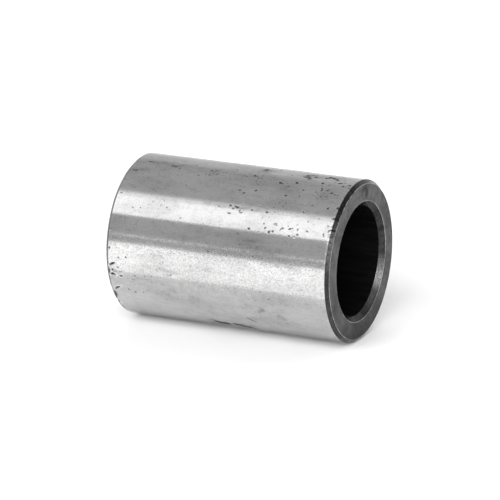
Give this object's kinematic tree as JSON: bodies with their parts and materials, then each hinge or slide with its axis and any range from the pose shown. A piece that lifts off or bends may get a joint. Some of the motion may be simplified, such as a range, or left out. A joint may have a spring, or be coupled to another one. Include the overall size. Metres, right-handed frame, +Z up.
{
  "type": "rigid sleeve coupling",
  "caption": "Thick-walled ground steel sleeve with a plain through bore and chamfered ends, joining two shafts end to end or serving as a hard bush.",
  "frame": {"origin": "on the bore axis, half-way between the two end faces", "axes": "+X along the bore axis out of the end face shown, +Z up with the sleeve lying on its side, +Y horizontal"},
  "size_m": [0.07, 0.047, 0.047],
  "materials": {
    "steel": "ground outside, darker heat-treated ends and bore"
  },
  "bodies": {
    "root": {"sleeve": "steel"}
  },
  "joints": []
}
